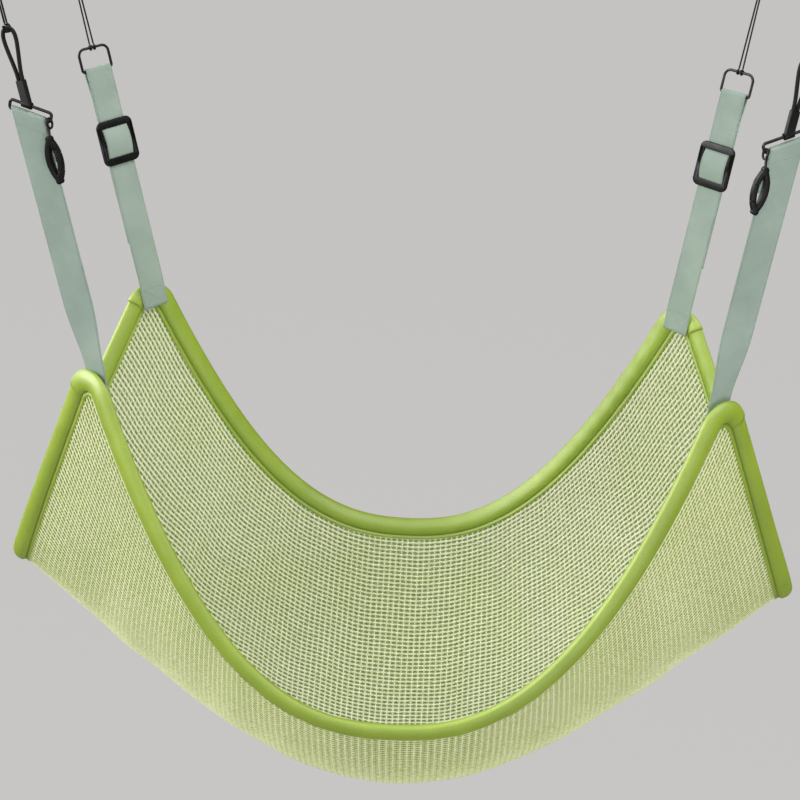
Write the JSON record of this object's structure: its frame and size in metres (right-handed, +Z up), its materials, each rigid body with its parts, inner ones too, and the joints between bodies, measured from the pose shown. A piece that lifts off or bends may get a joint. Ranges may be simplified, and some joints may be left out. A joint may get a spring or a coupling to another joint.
{
  "type": "cat hammock",
  "caption": "Hanging cat hammock: a net bed with a padded rim, slung from its corners by webbing straps with wire rings, slide adjusters, snap clips and tie cords.",
  "frame": {"origin": "under the middle of the bed, at the height of its lowest point", "axes": "+X along the bed to the right strap pair, +Y from the front rim to the rear rim, +Z up"},
  "size_m": [0.7614, 0.4482, 0.853],
  "materials": {
    "net": "open knitted net, pale lime and cream",
    "binding": "padded folded tape, lime green, matt",
    "webbing": "fine woven webbing, grey green, matt",
    "black_plastic": "moulded, satin black",
    "dark_steel": "black coated wire",
    "cord": "braided black cord"
  },
  "bodies": {
    "bed": {"mesh_bed": "net", "binding_front": "binding", "binding_rear": "binding", "binding_left": "binding", "binding_right": "binding", "strap_tail_front_left": "webbing", "strap_tail_front_right": "webbing", "strap_tail_rear_left": "webbing", "strap_tail_rear_right": "webbing"},
    "strap_front_left": {"strap_front_left": "webbing"},
    "ring_front_left": {"ring_front_left": "dark_steel", "lanyard_sleeve_front_left": "black_plastic", "lanyard_loop_front_left": "cord", "hitch_front_left": "cord", "tie_cord_front_left": "cord", "tie_crimp_front_left": "dark_steel"},
    "clip_front_left": {"clip_body_front_left": "black_plastic", "clip_pin_front_left": "dark_steel"},
    "gate_front_left": {"clip_gate_front_left": "black_plastic"},
    "strap_front_right": {"strap_front_right": "webbing"},
    "ring_front_right": {"ring_front_right": "dark_steel", "lanyard_sleeve_front_right": "black_plastic", "lanyard_loop_front_right": "cord", "hitch_front_right": "cord", "tie_cord_front_right": "cord", "tie_crimp_front_right": "dark_steel"},
    "clip_front_right": {"clip_body_front_right": "black_plastic", "clip_pin_front_right": "dark_steel"},
    "gate_front_right": {"clip_gate_front_right": "black_plastic"},
    "strap_rear_left": {"strap_rear_left": "webbing"},
    "ring_rear_left": {"ring_rear_left": "dark_steel", "hitch_rear_left": "cord", "tie_cord_rear_left": "cord", "tie_crimp_rear_left": "dark_steel"},
    "adjuster_rear_left": {"adjuster_rear_left": "black_plastic", "adjuster_web_rear_left": "webbing"},
    "strap_rear_right": {"strap_rear_right": "webbing"},
    "ring_rear_right": {"ring_rear_right": "dark_steel", "hitch_rear_right": "cord", "tie_cord_rear_right": "cord", "tie_crimp_rear_right": "dark_steel"},
    "adjuster_rear_right": {"adjuster_rear_right": "black_plastic", "adjuster_web_rear_right": "webbing"}
  },
  "joints": [
    {"name": "strap_fold_front_left", "type": "hinge", "parent": "bed", "child": "strap_front_left", "pos_m": [-0.26759, -0.13467, 0.45387], "axis": [0.7193, -0.6746, 0.1661], "range_deg": [-10, 40]},
    {"name": "ring_tilt_front_left", "type": "hinge", "parent": "strap_front_left", "child": "ring_front_left", "pos_m": [-0.31596, -0.13237, 0.66644], "axis": [0.9386, -0.2541, -0.2332], "range_deg": [-20, 20]},
    {"name": "clip_swing_front_left", "type": "hinge", "parent": "strap_front_left", "child": "clip_front_left", "pos_m": [-0.2993, -0.13689, 0.66255], "axis": [-0.9346, 0.2827, -0.2158], "range_deg": [0, 60]},
    {"name": "clip_gate_front_left", "type": "hinge", "parent": "clip_front_left", "child": "gate_front_left", "pos_m": [-0.29236, -0.14372, 0.64116], "axis": [0.2755, 0.9592, 0.0636], "range_deg": [0, 8], "stiffness_Nm_per_rad": 0.02},
    {"name": "strap_fold_front_right", "type": "hinge", "parent": "bed", "child": "strap_front_right", "pos_m": [0.26697, -0.13524, 0.45399], "axis": [0.7275, 0.6784, -0.1022], "range_deg": [-10, 40]},
    {"name": "ring_tilt_front_right", "type": "hinge", "parent": "strap_front_right", "child": "ring_front_right", "pos_m": [0.29663, -0.13294, 0.66996], "axis": [0.9134, 0.2586, 0.3143], "range_deg": [-20, 20]},
    {"name": "clip_swing_front_right", "type": "hinge", "parent": "strap_front_right", "child": "clip_front_right", "pos_m": [0.28039, -0.13755, 0.66463], "axis": [-0.9484, -0.2877, 0.1333], "range_deg": [0, 60]},
    {"name": "clip_gate_front_right", "type": "hinge", "parent": "clip_front_right", "child": "gate_front_right", "pos_m": [0.27538, -0.14439, 0.64271], "axis": [0.2849, -0.9577, -0.04], "range_deg": [0, 8], "stiffness_Nm_per_rad": 0.02},
    {"name": "strap_fold_rear_left", "type": "hinge", "parent": "bed", "child": "strap_rear_left", "pos_m": [-0.26759, 0.13467, 0.45387], "axis": [-0.7193, -0.6746, -0.1661], "range_deg": [-10, 40]},
    {"name": "ring_tilt_rear_left", "type": "hinge", "parent": "strap_rear_left", "child": "ring_rear_left", "pos_m": [-0.3182, 0.13644, 0.66592], "axis": [-0.7193, -0.6746, -0.1661], "range_deg": [-20, 20]},
    {"name": "adjuster_slide_rear_left", "type": "slide", "parent": "strap_rear_left", "child": "adjuster_rear_left", "axis": [-0.225, 0, 0.9744], "range_m": [-0.06, 0.03]},
    {"name": "strap_fold_rear_right", "type": "hinge", "parent": "bed", "child": "strap_rear_right", "pos_m": [0.26697, 0.13524, 0.45399], "axis": [-0.7275, 0.6784, 0.1022], "range_deg": [-10, 40]},
    {"name": "ring_tilt_rear_right", "type": "hinge", "parent": "strap_rear_right", "child": "ring_rear_right", "pos_m": [0.29893, 0.137, 0.66964], "axis": [-0.7275, 0.6784, 0.1022], "range_deg": [-20, 20]},
    {"name": "adjuster_slide_rear_right", "type": "slide", "parent": "strap_rear_right", "child": "adjuster_rear_right", "axis": [0.1392, 0, 0.9903], "range_m": [-0.06, 0.03]}
  ]
}
